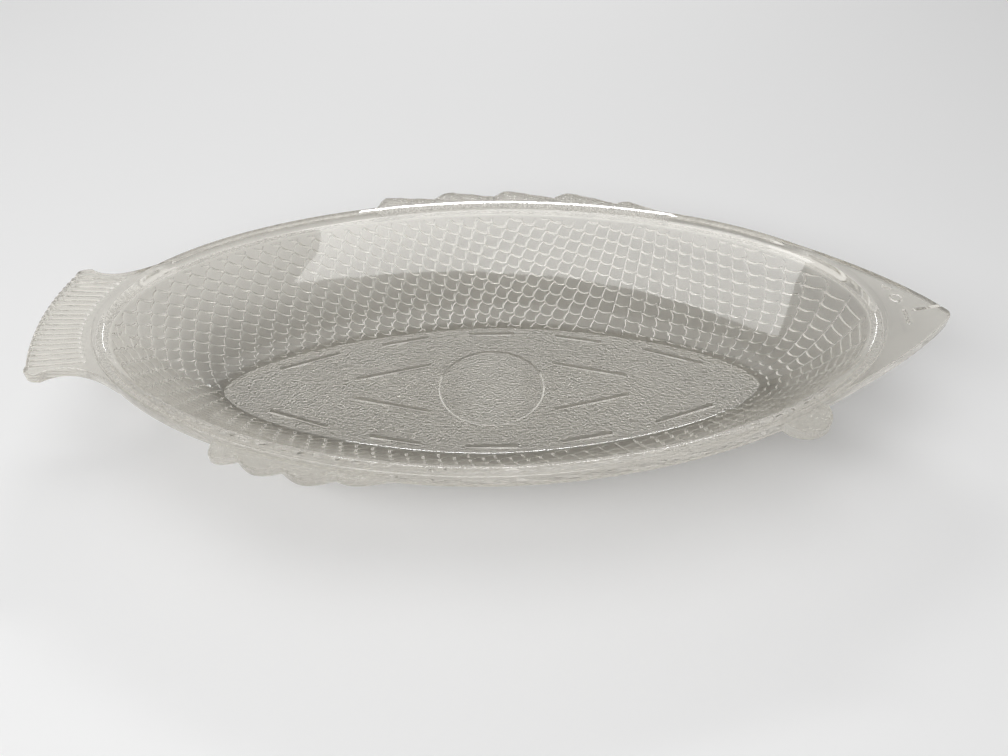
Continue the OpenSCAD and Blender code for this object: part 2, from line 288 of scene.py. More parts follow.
class Skin:
    """Points and faces of one closed surface, with the finish of each face."""

    def __init__(self):
        self.points = []
        self.faces = []
        self.finishes = []

    def add(self, points):
        """Adds points and gives their numbers."""
        start = len(self.points)
        self.points.extend(tuple(p) for p in points)
        return list(range(start, len(self.points)))

    def face(self, corners, finish=CLEAR):
        """Adds a face between numbered points."""
        self.faces.append(corners)
        self.finishes.append(finish)

    def band(self, one, two, finish=CLEAR):
        """Closes the strip between two rings with equal numbers of points."""
        n = len(one)
        for i in range(n):
            j = (i + 1) % n
            self.face((one[i], one[j], two[j], two[i]), finish)

    def stack(self, rings, base=CLEAR):
        """Closes a stack of rings with a face at each end, the first one in a finish of its own."""
        ids = [self.add(ring) for ring in rings]
        for one, two in zip(ids, ids[1:]):
            self.band(one, two)
        self.face(ids[0], base)
        self.face(ids[-1])

    def lace(self, one, one_at, two, two_at):
        """Closes the strip between two lines of points, each with its own places along the strip."""
        i = j = 0
        while i < len(one) - 1 or j < len(two) - 1:
            if j == len(two) - 1 or (i < len(one) - 1 and one_at[i + 1] <= two_at[j + 1]):
                self.face((one[i], one[i + 1], two[j]))
                i += 1
            else:
                self.face((one[i], two[j + 1], two[j]))
                j += 1

    def mesh(self, name):
        """Mesh of the surface, with its faces turned outwards."""
        made = bpy.data.meshes.new(name)
        made.from_pydata(self.points, [], self.faces)
        made.polygons.foreach_set("material_index", self.finishes)
        bm = bmesh.new()
        bm.from_mesh(made)
        bmesh.ops.recalc_face_normals(bm, faces=bm.faces)
        bm.to_mesh(made)
        bm.free()
        return made


# How the scales run, at shares of the way from the snout to the tail and on both sides alike, so that they
# meet in a seam at the tail end: the slope of their rows and the lean of their sides in degrees, their
# width in shares of the set width, and the side that their tips turn to, from -1 (snout) to 1 (tail).
RUN_SHARES = (0, 0.08, 0.165, 0.26, 0.33, 0.41, 0.5, 0.69, 1)
ROW_SLOPES = (0, -16, 0, 9, 12, 16, 22, 40, 48)
SIDE_LEANS = (0, -20, -29, -16, -2, 10, 18, 36, 46)
WIDTH_SHARES = (1.3, 1.15, 1, 1, 1, 1, 1, 1, 1)
TIP_TURNS = (0, -1, -1, -0.8, 0.3, 1, 1, 1, 1)


class Scales:
    """Overlapping fish scales laid round the outside of the wall.

    A place on the wall is a distance s round the bowl from the snout and a distance t down from the
    crest. The scales lie in a lattice of rows and columns. The sides of a scale swell into a U, and its
    face rises a little to its free sides, which end in a bead with arched flanks. Light that comes from
    inside the glass turns back between the two flanks, so that the beads show as bright lines.
    """

    REACH = 14 * MM  # drawn past the wall's edges before it is trimmed
    SEAM = 0.25 * MM  # half the width of the seam at the tail end
    LEVEL = 0.7 * MM  # over which the relief dies away at the upper and lower edges
    FACE_STEPS = 3  # steps across the face of a scale, before its bead
    BEAD_SHARES, BEAD_HEIGHTS = (0.22, 0.5, 0.78, 1), (0.56, 1, 0.56, 0)  # section of a bead, side to side
    SIDE_SWELL = 0.7  # swell of a scale's sides beside that of its tip
    ON_LINE = 0.02  # millimetres within which a point is on a line that the sheet is trimmed to
    ROUNDING = 1.01  # allowance for rounding when the points on that line are picked
    PAST_TAIL = 0.3  # radians that the girth is measured past the tail end
    GIRTH_STEPS = 4000  # steps that the girth is measured in
    MEAN_STATIONS, MEAN_STEPS = 200, 80  # grid that the wall's mean height is measured on
    SEARCH = 1.2 * MM  # spacing of the points among which lattice corners are sought
    NUDGE = 0.05 * MM  # step over which the lattice's slope is measured
    ROUNDS = 6  # of stepping nearer to a lattice place

    def __init__(self, bowl, sizes):
        self.bowl = bowl
        self.sizes = sizes

        # Girth of the wall at half its height, from the snout, and the mean way up the wall
        angles = np.linspace(-math.pi - self.PAST_TAIL, math.pi + self.PAST_TAIL, self.GIRTH_STEPS)
        middle = bowl.inner(angles, np.full_like(angles, 0.5))
        way = np.concatenate([[0], np.cumsum(np.linalg.norm(np.diff(middle, axis=0), axis=1))])
        self.angles = angles
        self.round = way - np.interp(0, angles, way)
        self.half = np.interp(math.pi, angles, self.round)
        around = np.linspace(-math.pi, math.pi, self.MEAN_STATIONS)
        self.ups = np.linspace(0, 1, self.MEAN_STEPS)
        walls = bowl.inner(*np.meshgrid(around, self.ups, indexing="ij"))
        steps_up = np.linalg.norm(np.diff(walls, axis=1), axis=2).mean(0)
        self.up_way = np.concatenate([[0], np.cumsum(steps_up)])
        self.down = self.up_way[-1]

        # Lines that the sheet is trimmed to, in millimetres
        self.limit = (self.half - self.SEAM) / MM
        self.top, self.bottom = sizes.band / MM, self.down / MM

        # Run of the scales along the girth
        way_share = np.abs(self.round) / self.half
        side = np.sign(self.round)
        self.slope = side * np.radians(np.interp(way_share, RUN_SHARES, ROW_SLOPES))
        self.lean = side * np.radians(np.interp(way_share, RUN_SHARES, SIDE_LEANS))
        self.width = sizes.width * np.interp(way_share, RUN_SHARES, WIDTH_SHARES)
        self.turn = side * np.interp(way_share, RUN_SHARES, TIP_TURNS)
        steps = np.diff(self.round)
        self.across = self.summed(np.cos(self.lean) / self.width, steps)
        self.along = self.summed(np.sin(self.slope) / sizes.pitch, steps)

    def share_up(self, t):
        """Share of the way up the wall at a distance down from the crest."""
        return np.interp(self.down - t, self.up_way, self.ups)

    def summed(self, rate, steps):
        """Running sum of a rate along the girth, zero at the snout."""
        total = np.concatenate([[0], np.cumsum((rate[1:] + rate[:-1]) / 2 * steps)])
        return total - np.interp(0, self.round, total)

    def lattice(self, s, t):
        """Lattice place of a point on the wall."""
        deep = t - self.down / 2
        lean = np.interp(s, self.round, self.lean)
        slope = np.interp(s, self.round, self.slope)
        width = np.interp(s, self.round, self.width)
        across = np.interp(s, self.round, self.across) - deep * np.sin(lean) / width
        along = np.interp(s, self.round, self.along) + deep * np.cos(slope) / self.sizes.pitch
        return across, along

    def on_wall(self, x, y, s, t):
        """Point on the wall at a lattice place, found from a point near it."""
        step = self.NUDGE
        for _ in range(self.ROUNDS):
            x0, y0 = self.lattice(s, t)
            xs, ys = self.lattice(s + step, t)
            xt, yt = self.lattice(s, t + step)
            a, b, c, d = (xs - x0) / step, (xt - x0) / step, (ys - y0) / step, (yt - y0) / step
            det = a * d - b * c
            s, t = s + (d * (x - x0) - b * (y - y0)) / det, t + (a * (y - y0) - c * (x - x0)) / det
        return s, t

    def corners(self):
        """Lattice corners on and near the wall, as {(i, j): (s, t)}."""
        s, t = np.meshgrid(
            np.arange(-self.half - self.REACH, self.half + self.REACH, self.SEARCH),
            np.arange(-self.REACH, self.down + self.REACH, self.SEARCH))
        s, t = s.ravel(), t.ravel()
        x, y = self.lattice(s, t)
        i, j = np.round(x), np.round(y)
        order = np.argsort(np.hypot(x - i, y - j))
        keys, first = np.unique(np.stack([i, j], -1)[order], axis=0, return_index=True)
        near = order[first]
        s, t = self.on_wall(keys[:, 0], keys[:, 1], s[near], t[near])
        return {(int(k[0]), int(k[1])): (p, q) for k, p, q in zip(keys, s, t)}

    def sheet(self):
        """Flat sheet of scales over the whole wall: points (s, t, relief) in millimetres and faces."""
        found = self.corners()
        cells = np.array([c for c in found if all(
            (c[0] + i, c[1] + j) in found for i in (0, 1) for j in (0, 1))])
        face_end = 1 - self.sizes.line
        steps = np.linspace(0, face_end, self.FACE_STEPS + 1)
        shares = np.append(steps, face_end + self.sizes.line * np.array(self.BEAD_SHARES))
        heights = np.append(np.zeros_like(steps), self.BEAD_HEIGHTS)
        n = len(shares) - 1

        # Points of every cell, guessed from the cell's corners
        k, m = np.meshgrid(np.arange(n + 1), np.arange(n + 1), indexing="ij")
        fx, fy = shares[k][..., None], shares[m][..., None]
        at = {(i, j): np.array([found[c[0] + i, c[1] + j] for c in cells])[:, None, None]
              for i in (0, 1) for j in (0, 1)}
        guess = ((1 - fx) * (1 - fy) * at[0, 0] + fx * (1 - fy) * at[1, 0]
                 + (1 - fx) * fy * at[0, 1] + fx * fy * at[1, 1]).reshape(-1, 2)

        # Points that neighbouring cells share become one
        index = np.stack([
            (cells[:, 0] * n)[:, None, None] + k,
            (cells[:, 1] * n)[:, None, None] + m], -1).reshape(-1, 2)
        places, first, back = np.unique(index, axis=0, return_index=True, return_inverse=True)

        # Swell of the sides and the relief on them
        part = shares[places % n]
        turn = np.interp(guess[first, 0], self.round, self.turn)
        swell = self.sizes.swell * 4 * part * (1 - part)
        lattice = places // n + part + np.stack([swell[:, 1] * turn * self.SIDE_SWELL, swell[:, 0]], -1)
        s, t = self.on_wall(lattice[:, 0], lattice[:, 1], guess[first, 0], guess[first, 1])
        to_edge = np.minimum(part / face_end, 1)
        rise = self.sizes.tilt * (0.5 + turn * (to_edge[:, 0] - 0.5) + to_edge[:, 1])
        relief = rise + self.sizes.bead * heights[places % n].max(1)

        grid = np.ravel(back).reshape(-1, n + 1, n + 1)
        faces = np.stack([grid[:, :-1, :-1], grid[:, 1:, :-1], grid[:, 1:, 1:], grid[:, :-1, 1:]], -1)
        return np.stack([s, t, relief], -1) / MM, faces.reshape(-1, 4)

    def trimmed(self):
        """The sheet cut to the wall: points (s, t, relief) in millimetres and faces."""
        points, faces = self.sheet()
        flat = bpy.data.meshes.new("scales")
        flat.from_pydata(points.tolist(), [], faces.tolist())
        bm = bmesh.new()
        bm.from_mesh(flat)
        bpy.data.meshes.remove(flat)
        for place, way in (
                ((self.limit, 0, 0), (1, 0, 0)), ((-self.limit, 0, 0), (-1, 0, 0)),
                ((0, self.top, 0), (0, -1, 0)), ((0, self.bottom, 0), (0, 1, 0))):
            bmesh.ops.bisect_plane(
                bm, geom=bm.verts[:] + bm.edges[:] + bm.faces[:], dist=self.ON_LINE,
                plane_co=place, plane_no=way, clear_outer=True)
        bm.verts.index_update()
        cut = np.array([v.co for v in bm.verts])
        kept = [[v.index for v in f.verts] for f in bm.faces]
        bm.free()
        s, t = cut[:, 0], cut[:, 1]
        edges = [self.on_line(*pair) for pair in (
            (s, self.limit), (s, -self.limit), (t, self.top), (t, self.bottom))]
        # A face that lies wholly on one of these lines would be a loose flap
        return cut, [f for f in kept if not any(edge[f].all() for edge in edges)]

    def on_line(self, places, where):
        """Which points are on a line that the sheet was trimmed to."""
        return np.abs(places - where) < self.ROUNDING * self.ON_LINE

    def lay(self, skin):
        """Lays the scales on the wall.

        Gives the upper and the lower edge, each as its points and their places round the bowl.
        """
        cut, faces = self.trimmed()
        s, t, relief = cut.T
        fade = np.clip((t - self.top) * MM / self.LEVEL, 0, 1) * np.clip(
            (self.bottom - t) * MM / self.LEVEL, 0, 1)
        a = np.interp(s * MM, self.round, self.angles)
        ids = skin.add(self.bowl.outer(a, self.share_up(t * MM), relief * fade * MM))
        for corners in faces:
            skin.face([ids[c] for c in corners])

        def edge(places, where, along):
            picked = np.flatnonzero(self.on_line(places, where))
            picked = picked[np.argsort(along[picked])]
            return [ids[p] for p in picked], along[picked] * MM

        left, right = edge(s, -self.limit, t), edge(s, self.limit, t)
        skin.lace(*left, *right)
        return edge(t, self.top, s), edge(t, self.bottom, s)


WAVE, WAVE_DEPTH, WAVE_STRENGTH = 14 * MM, 0.5 * MM, 0.12  # faint waviness that the pressing left
GRAIN_DEPTH = 1.3 * MM  # of the stipple
FIRE_POLISH = 0.02  # roughness of the glass
SODA_LIME_IOR = 1.52


def pressed_glass(look, name, grain):
    """Pressed soda-lime glass, fire-polished.

    It bends light strongly and is clear, with a faint warm grey tint that deepens with each face that light
    passes. Where the mould was stippled, its grain scatters what lies behind into sparkle. The real grain
    is too fine to show, so it is drawn as coarse as it needs to be. Shadow rays go straight through the
    glass, so that the table under it is lit.
    """
    made = bpy.data.materials.new(name)
    made.use_nodes = True
    tree = made.node_tree
    tree.nodes.clear()
    place = add_node(tree, "ShaderNodeTexCoord").outputs["Object"]
    waves = add_node(tree, "ShaderNodeTexNoise", {"Vector": place, "Scale": 1 / WAVE, "Detail": 1.0})
    bump = add_node(tree, "ShaderNodeBump", {
        "Height": waves.outputs["Fac"], "Strength": WAVE_STRENGTH, "Distance": WAVE_DEPTH})
    if grain:
        dots = add_node(tree, "ShaderNodeTexNoise", {"Vector": place, "Scale": 1 / grain, "Detail": 2.0})
        bump = add_node(tree, "ShaderNodeBump", {
            "Height": dots.outputs["Fac"], "Normal": bump.outputs["Normal"],
            "Strength": 1.0, "Distance": GRAIN_DEPTH})
    glass = add_node(tree, "ShaderNodeBsdfPrincipled", {
        "Base Color": linear(look.glass), "Roughness": FIRE_POLISH, "IOR": SODA_LIME_IOR,
        "Transmission Weight": 1.0, "Normal": bump.outputs["Normal"]})
    clear = add_node(tree, "ShaderNodeBsdfTransparent", {"Color": linear(look.shade)})
    path = add_node(tree, "ShaderNodeLightPath")
    mixed = add_node(tree, "ShaderNodeMixShader", {"Fac": path.outputs["Is Shadow Ray"]})
    tree.links.new(glass.outputs["BSDF"], mixed.inputs[1])
    tree.links.new(clear.outputs["BSDF"], mixed.inputs[2])
    add_node(tree, "ShaderNodeOutputMaterial", {"Surface": mixed.outputs["Shader"]})
    return made


def all_glasses(look):
    """The clear and the stippled glass, in the order of their finish numbers."""
    return [
        bpy.data.materials.get(name) or pressed_glass(look, name, grain)
        for name, grain in GLASSES.items()]


def zone(name, mesh, collection=ZONES):
    """Keeps a moulded zone until the glass is pressed."""
    for glass in all_glasses(bpy.context.scene.platter_look):
        mesh.materials.append(glass)
    made = bpy.data.objects.new(name, mesh)
    kept = bpy.data.collections.get(collection)
    if kept is None:
        kept = bpy.data.collections.new(collection)
        bpy.context.scene.collection.children.link(kept)
    kept.objects.link(made)


def bent(p0, p1, p2, steps):
    """Points, or rings of points, of a curve that leaves p0 towards p1 and comes to p2."""
    p0, p1, p2 = np.asarray(p0), np.asarray(p1), np.asarray(p2)
    t = np.linspace(0, 1, steps + 1).reshape(-1, *[1] * p0.ndim)
    return (1 - t) ** 2 * p0 + 2 * t * (1 - t) * p1 + t ** 2 * p2


EDGE_STEPS = 4  # facets across a fire-polished edge


def prism(outline, low, high, edge, finish=CLEAR):
    """Closed plate of an outline, with its upper and lower edges rounded."""
    bm = bmesh.new()
    floor = bm.faces.new([bm.verts.new((x, y, low)) for x, y in outline])
    raised = bmesh.ops.extrude_face_region(bm, geom=[floor])["geom"]
    bmesh.ops.translate(
        bm, vec=(0, 0, high - low), verts=[g for g in raised if isinstance(g, bmesh.types.BMVert)])
    bmesh.ops.recalc_face_normals(bm, faces=bm.faces)
    level = [e for e in bm.edges if abs(e.verts[0].co.z - e.verts[1].co.z) < (high - low) / 2]
    bmesh.ops.bevel(
        bm, geom=level, offset=edge, segments=EDGE_STEPS, profile=0.5, affect="EDGES", clamp_overlap=True)
    for face in bm.faces:
        face.material_index = finish
    made = bpy.data.meshes.new("plate")
    bm.to_mesh(made)
    bm.free()
    return made


RIDGE = 1  # points on the crown of a rib with two straight flanks


def bar(start, end, half_width, low, high, crown, taper):
    """Straight rib between two plan points, sunk by as much as it rises.

    Its back is an arch with so many points on its crown. The taper is the share of its height that it
    lacks at its start.
    """
    start, end = np.asarray(start, float), np.asarray(end, float)
    along = (end - start) / np.linalg.norm(end - start)
    side = np.array([-along[1], along[0]])
    turns = np.linspace(0, math.pi, crown + 2)
    rings = []
    for place, grown in ((start, 1 - taper), (start + along * half_width, 1.0), (end, 1.0)):
        back = [lifted(place + half_width * math.cos(q) * side, low + (high - low) * math.sin(q) * grown)
                for q in turns]
        foot = [lifted(place + half_width * w * side, low - (high - low)) for w in (-1, 1)]
        rings.append(back + foot)
    skin = Skin()
    skin.stack(rings)
    return skin.mesh("rib")


def overturned(rib, z):
    """A rib turned over, so that it points down from a height."""
    rib.transform(Matrix.Translation((0, 0, z)) @ Matrix.Diagonal((1, 1, -1, 1)))
    rib.flip_normals()
    return rib


class PLATTER_OT_bowl(bpy.types.Operator):
    """Bowl with its rim: smooth inside, covered with scales outside"""
    bl_idname = "platter.bowl"
    bl_label = "Bowl and rim"

    STATIONS = 360  # points of a ring round the bowl
    WALL_RINGS, CORNER_RINGS = 9, 6  # up the inside of the wall, and round an outer corner of the rim
    CREST_STEPS, FILLET_STEPS = 8, 4
    FILLET = 0.6 * MM  # between the wall and the underside of the rim

    def execute(self, context):
        sizes = context.scene.platter_bowl
        bowl = Bowl(sizes)
        scales = Scales(bowl, context.scene.platter_scales)
        skin = Skin()
        a = -math.pi + TAU * np.arange(self.STATIONS) / self.STATIONS
        top = bowl.crest_z(a)

        # Inside of the wall, crest and rim
        crest_v = 1 - sizes.crest_round / self.mean_run(bowl, a)
        rings = [bowl.inner(a, np.full_like(a, v)) for v in np.linspace(0, crest_v, self.WALL_RINGS)]
        crest = lifted(bowl.crest_at(a), top)
        shoulder = lifted(bowl.rim_at(a, sizes.crest_round), top)
        rings += list(bent(rings[-1], crest, shoulder, self.CREST_STEPS)[1:])
        flat = sizes.rim_w - sizes.rim_round
        rings += self.corner(bowl, a, flat, top - sizes.rim_round, 90)
        rings += self.corner(bowl, a, flat, top - sizes.rim_t + sizes.rim_round, 0)

        # Underside of the rim and the fillet that it meets the wall in
        seam = bowl.seam_v(a)
        below = bowl.outer(a, seam - self.FILLET / scales.down)
        under = bowl.outer(a, seam)
        away = under + self.FILLET * lifted(bowl.outward(a), 0.0)
        underside = len(rings) - 1
        rings += list(bent(away, under, below, self.FILLET_STEPS))

        ids = [skin.add(r) for r in rings]
        for k in range(len(ids) - 1):
            skin.band(ids[k], ids[k + 1], STIPPLED if k == underside else CLEAR)
        skin.face(ids[0])

        # Scales on the outside, from the fillet to the floor's edge
        around = np.interp(a, scales.angles, scales.round)
        upper, lower = scales.lay(skin)
        girth = 2 * scales.half
        foot = skin.add(lifted(bowl.floor_at(a), sizes.foot_h))
        for (chain, places), ring in ((upper, ids[-1]), (lower, foot)):
            skin.lace(
                chain + chain[:1], np.append(places, places[0] + girth),
                ring + ring[:1], np.append(around, around[0] + girth))
        skin.face(foot, STIPPLED)
        zone("bowl", skin.mesh("bowl"))
        return {"FINISHED"}

    @staticmethod
    def mean_run(bowl, a):
        """Mean plan distance from the floor's edge to the crest."""
        return np.linalg.norm(bowl.crest_at(a) - bowl.floor_at(a), axis=-1).mean()

    def corner(self, bowl, a, flat, z, from_angle):
        """Rings round one outer corner of the rim, a quarter turn down from an angle in degrees."""
        r = bowl.sizes.rim_round
        turns = np.radians(from_angle - np.linspace(0, 90, self.CORNER_RINGS))
        return [lifted(bowl.rim_at(a, flat + r * math.cos(q)), z + r * math.sin(q)) for q in turns]


class PLATTER_OT_underside(bpy.types.Operator):
    """Roundel and foot ribs that the platter stands on"""
    bl_idname = "platter.underside"
    bl_label = "Underside"

    # Foot ribs of one quarter and of one side, end to end, as shares of the floor's half sizes
    QUARTER_SHARES = (
        ((0.59, 0.58), (0.81, 0.33)),
        ((0.25, 0.84), (0.43, 0.72)),
        ((0.23, 0.37), (0.51, 0.15)))
    SIDE_SHARES = ((-0.09, 0.89), (0.09, 0.89))
    RIB_W = 3 * MM
    RIB_TAPER = 0.5
    ROUNDEL_STEPS = 160
    SINK = 1 * MM  # of the roundel into the floor

    def execute(self, context):
        sizes = context.scene.platter_bowl
        half = np.array([sizes.floor_l, sizes.floor_w]) / 2
        radius = span("roundel", 0) / 2
        circle = unit_circle(self.ROUNDEL_STEPS)
        high = sizes.foot_h
        profile = ((radius - high, 0.0), (radius, high), (radius, high + self.SINK))
        skin = Skin()
        skin.stack([lifted(r * circle, z) for r, z in profile], STIPPLED)
        zone("roundel", skin.mesh("roundel"))
        for my in (-1, 1):
            self.rib(self.SIDE_SHARES, half, (1, my), high)
            for shares in self.QUARTER_SHARES:
                for mx in (-1, 1):
                    self.rib(shares, half, (mx, my), high)
        return {"FINISHED"}

    def rib(self, shares, half, side, height):
        """One foot rib, with straight flanks that catch the light."""
        ends = [np.array(p) * half * side for p in shares]
        upright = bar(*ends, self.RIB_W / 2, 0, height, RIDGE, self.RIB_TAPER)
        zone("foot_rib", overturned(upright, height))


class PLATTER_OT_head(bpy.types.Operator):
    """Flat head with its snout, mouth and eye"""
    bl_idname = "platter.head"
    bl_label = "Head"

    ROOT = math.radians(39)  # where the cheeks leave the rim
    LEAD = math.radians(3)  # stretch of rim that they leave in line with
    TAPER = 0.75  # how far along the head the cheeks bend
    SINK = 2 * MM  # overlap with the rim
    SNOUT = 3 * MM  # from the tip, within which the snout is rounded
    CHEEK_STEPS, SNOUT_STEPS, ROOT_STEPS = 24, 6, 40  # along the outline's curves
    # Ends of the mouth's grooves and middle of the eye's ring, along the fish from the snout's tip and
    # across it from its middle line
    MOUTH = ((-18 * MM, -2.6 * MM), (4 * MM, 2.2 * MM))
    MOUTH_CORNER = ((-22 * MM, -2 * MM), (-23 * MM, -12.6 * MM))
    EYE_RING = (-23 * MM, 6.4 * MM)
    MOUTH_W, MOUTH_D, MOUTH_TAPER = 1.8 * MM, 1.5 * MM, 0.7
    RING_R, RING_W, RING_D = 2.7 * MM, 0.9 * MM, 0.5 * MM
    EYE_STEPS = 48  # round the eye and its ring
    # Profile of the eye, in shares of its radius and its rise
    EYE_SHARES = ((1.0, -1.0), (1.0, 0.0), (0.92, 0.45), (0.72, 0.78), (0.42, 0.96), (0.12, 1.0))

    def execute(self, context):
        sizes, fish = context.scene.platter_bowl, context.scene.platter_fish
        bowl = Bowl(sizes)
        top = top_of("head")
        snout = np.array([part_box("head")[1].x, -fish.snout_lean])
        root = bowl.rim_edge(np.array(self.ROOT))
        lead = root - bowl.rim_edge(np.array(self.ROOT + self.LEAD))
        knee = root + lead * self.TAPER * (snout[0] - root[0]) / lead[0]
        upper = bent(root, knee, snout, self.CHEEK_STEPS)
        lower = bent(root * (1, -1), knee * (1, -1), snout, self.CHEEK_STEPS)[::-1]
        upper = upper[np.linalg.norm(upper - snout, axis=1) > self.SNOUT][1:]
        lower = lower[np.linalg.norm(lower - snout, axis=1) > self.SNOUT][:-1]
        nose = bent(upper[-1], snout, lower[0], self.SNOUT_STEPS)[1:-1]
        inside = bowl.rim_at(np.linspace(-self.ROOT, self.ROOT, self.ROOT_STEPS), sizes.rim_w - self.SINK)
        outline = np.concatenate([inside, upper, nose, lower])
        zone("head", prism(outline, top - fish.head_t, top, fish.edge))
        tip = np.array([snout[0], 0.0])
        self.groove("mouth", tip + self.MOUTH, top)
        self.groove("mouth_corner", tip + self.MOUTH_CORNER, top)
        self.eye(top)
        self.eye_ring(tip + self.EYE_RING, top)
        return {"FINISHED"}

    def groove(self, name, ends, top):
        """Notch with straight flanks, cut down from the top face."""
        upright = bar(*ends, self.MOUTH_W / 2, 0, self.MOUTH_D, RIDGE, self.MOUTH_TAPER)
        zone(name, overturned(upright, top), CUTS)

    def eye_ring(self, middle, top):
        """Ring-shaped groove on the cheek, with straight flanks."""
        circle = unit_circle(self.EYE_STEPS)
        profile = ((-self.RING_W, self.RING_D), (0, -self.RING_D), (self.RING_W, self.RING_D))
        skin = Skin()
        rings = [skin.add(lifted(middle + (self.RING_R + wide) * circle, top + tall))
                 for wide, tall in profile]
        for one, two in zip(rings, rings[1:] + rings[:1]):
            skin.band(one, two)
        zone("eye_ring", skin.mesh("eye_ring"), CUTS)

    def eye(self, top):
        """Low dome of the eye, sunk into the head by as much as it rises."""
        low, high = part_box("eye")
        middle = np.array(((low + high) / 2).xy)
        radius, rise = (high.x - low.x) / 2, high.z - top
        circle = unit_circle(self.EYE_STEPS)
        skin = Skin()
        skin.stack([
            lifted(middle + radius * wide * circle, top + rise * tall) for wide, tall in self.EYE_SHARES])
        zone("eye", skin.mesh("eye"))


class PLATTER_OT_tail(bpy.types.Operator):
    """Flared tail fin with its fan of ribs"""
    bl_idname = "platter.tail"
    bl_label = "Tail"

    ROOT = math.radians(30)  # where its sides leave the rim, from the bowl's tail end
    SINK = 2 * MM  # overlap with the rim
    END_W, WAIST_W, BOW = 77 * MM, 54 * MM, 5 * MM
    CORNER_AT, CORNER_END = 0.55, 0.86  # along the tail, from the rim to the end
    SIDE_STEPS, CORNER_STEPS, END_STEPS, ROOT_STEPS = 16, 10, 41, 40  # along the outline's curves
    STRIP = 4 * MM  # plain strip between the rim and the ribs
    FAN = 310 * MM  # from the tail's end to the point that the ribs fan out from
    FILL = 0.9  # part of the ribs' pitch that a rib covers
    RIB_CROWN, RIB_TAPER = 5, 0.8
    SEARCH, SEARCH_STEPS = 0.7, 400  # radians each side of the tail end in which a rib's start is sought

    def execute(self, context):
        sizes, fish = context.scene.platter_bowl, context.scene.platter_fish
        bowl = Bowl(sizes)
        top = top_of("tail_fin")
        end_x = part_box("tail_fin")[0].x
        reach = -end_x - sizes.rim_l / 2
        end_y = (self.WAIST_W + self.END_W) / 4
        radius = (end_y ** 2 + self.BOW ** 2) / (2 * self.BOW)

        def along(part):
            return -sizes.rim_l / 2 - reach * part

        def end_at(y):
            return end_x + radius - np.sqrt(radius ** 2 - y ** 2)

        root = bowl.rim_edge(np.array(math.pi - self.ROOT))
        corner = np.array([along(self.CORNER_AT), self.END_W / 2])
        end = np.array([end_at(end_y), end_y])
        arc = np.linspace(end_y, -end_y, self.END_STEPS)[1:-1]
        side = np.concatenate([
            bent(root, (along(0), self.WAIST_W / 2), corner, self.SIDE_STEPS),
            bent(corner, (along(self.CORNER_END), self.END_W / 2), end, self.CORNER_STEPS)[1:]])
        roots = np.linspace(math.pi + self.ROOT, math.pi - self.ROOT, self.ROOT_STEPS)
        inside = bowl.rim_at(roots, sizes.rim_w - self.SINK)
        outline = np.concatenate([
            inside, side[1:], np.stack([end_at(arc), arc], -1), (side * (1, -1))[::-1][:-1]])
        zone("tail_fin", prism(outline, top - fish.tail_t, top, fish.edge))

        apex = np.array([end_x + self.FAN, 0.0])
        pitch = 2 * end_y / (fish.tail_ribs - 1)
        half_width = self.FILL * pitch / 2
        for k in range(fish.tail_ribs):
            y = -end_y + k * pitch
            way = np.array([-math.sqrt(self.FAN ** 2 - y ** 2), y]) / self.FAN
            start = apex + way * self.meet(bowl, apex, way, sizes.rim_w + self.STRIP)
            stop = apex + way * ((end_at(abs(y)) + fish.edge - apex[0]) / way[0])
            zone("tail_rib", bar(
                start, stop, half_width, top, top + fish.tail_rib_h, self.RIB_CROWN, self.RIB_TAPER))
        return {"FINISHED"}

    def meet(self, bowl, apex, way, out):
        """Distance from the fan's point along a rib to a line outside the crest."""
        a = np.linspace(math.pi - self.SEARCH, math.pi + self.SEARCH, self.SEARCH_STEPS)
        line = bowl.rim_at(a, out) - apex
        off = line @ np.array([-way[1], way[0]])
        return np.interp(0.0, off, line @ way)


